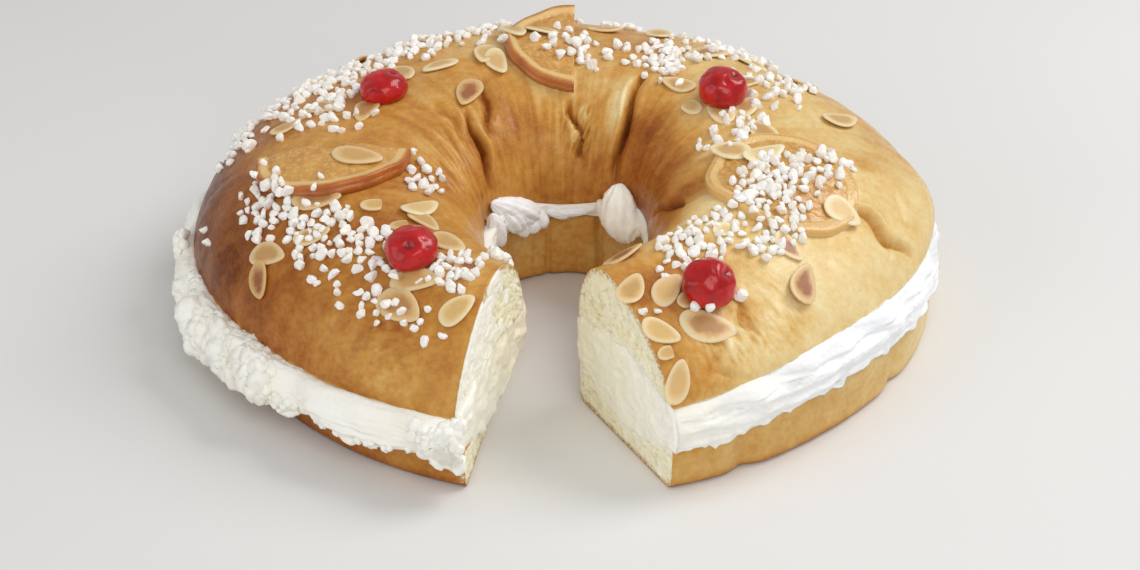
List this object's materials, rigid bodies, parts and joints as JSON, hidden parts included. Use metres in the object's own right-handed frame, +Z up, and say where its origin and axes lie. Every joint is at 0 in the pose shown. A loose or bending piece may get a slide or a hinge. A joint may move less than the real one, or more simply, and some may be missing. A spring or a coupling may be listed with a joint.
{
  "type": "roscon de reyes",
  "caption": "Ring of sweet bread filled with whipped cream, topped with cherries, orange slices, almonds and pearl sugar, with a wedge cut out.",
  "frame": {"origin": "middle of the loaf's box at the level that its base stands on", "axes": "+Z up, +X across the loaf to the right of someone who faces the missing wedge, which opens towards -Y"},
  "size_m": [0.3068, 0.2866, 0.0916],
  "materials": {
    "glazed_crust": "egg-washed sweet bread crust, golden to brown, softly glossy",
    "base_crust": "plain bread crust, satin",
    "crumb": "open pale yellow crumb, matt",
    "cream": "whipped cream, soft white",
    "glace_cherry": "glossy red syrup-candied fruit",
    "candied_orange": "sticky, half clear candied orange",
    "almond": "toasted sliced almond with darker middle and skin edge",
    "pearl_sugar": "coarse white sugar grains, slightly clear"
  },
  "bodies": {
    "root": {"bread_base": "base_crust", "cream_filling": "cream", "bread_top": "glazed_crust", "cherry_back_left": "glace_cherry", "cherry_back_right": "glace_cherry", "cherry_front_left": "glace_cherry", "cherry_front_right": "glace_cherry", "orange_slice_left": "candied_orange", "orange_slice_back": "candied_orange", "orange_slice_right": "candied_orange"}
  },
  "joints": []
}
